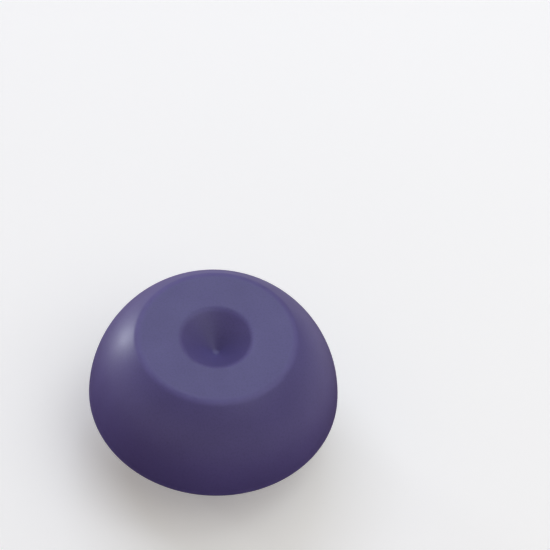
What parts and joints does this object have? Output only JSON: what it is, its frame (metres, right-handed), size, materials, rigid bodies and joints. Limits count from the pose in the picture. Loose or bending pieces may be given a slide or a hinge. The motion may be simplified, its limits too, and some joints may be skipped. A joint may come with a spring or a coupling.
{
  "type": "string vibration dampener",
  "caption": "Domed soft racquet string dampener with a flat dimpled crown, a swaying waisted neck, a collar with side channels for two strings, and a retaining foot.",
  "frame": {"origin": "centre of the foot button's flat resting face", "axes": "+Z along the dome's axis, from the foot towards the crown; Y along the two strings; X across them"},
  "size_m": [0.026, 0.026, 0.0163],
  "materials": {
    "dome_gel": "satin",
    "base_elastomer": "satin",
    "insert_plastic": "matte"
  },
  "bodies": {
    "grip": {"foot_button": "base_elastomer", "string_collar": "base_elastomer"},
    "neck": {"flex_neck": "base_elastomer"},
    "core": {"head_insert": "insert_plastic"},
    "head": {"dome_head": "dome_gel"}
  },
  "joints": [
    {"name": "sway_fore_aft", "type": "hinge", "parent": "grip", "child": "neck", "pos_m": [0, 0, 0.00665], "axis": [1, 0, 0], "range_deg": [-6, 6], "stiffness_Nm_per_rad": 0.018, "deforming": ["flex_neck"]},
    {"name": "sway_side", "type": "hinge", "parent": "neck", "child": "core", "pos_m": [0, 0, 0.00665], "axis": [0, 1, 0], "range_deg": [-6, 6], "stiffness_Nm_per_rad": 0.018},
    {"name": "bob", "type": "slide", "parent": "core", "child": "head", "axis": [0, 0, 1], "range_m": [-0.0004, 0.0004], "stiffness_N_per_m": 400}
  ]
}
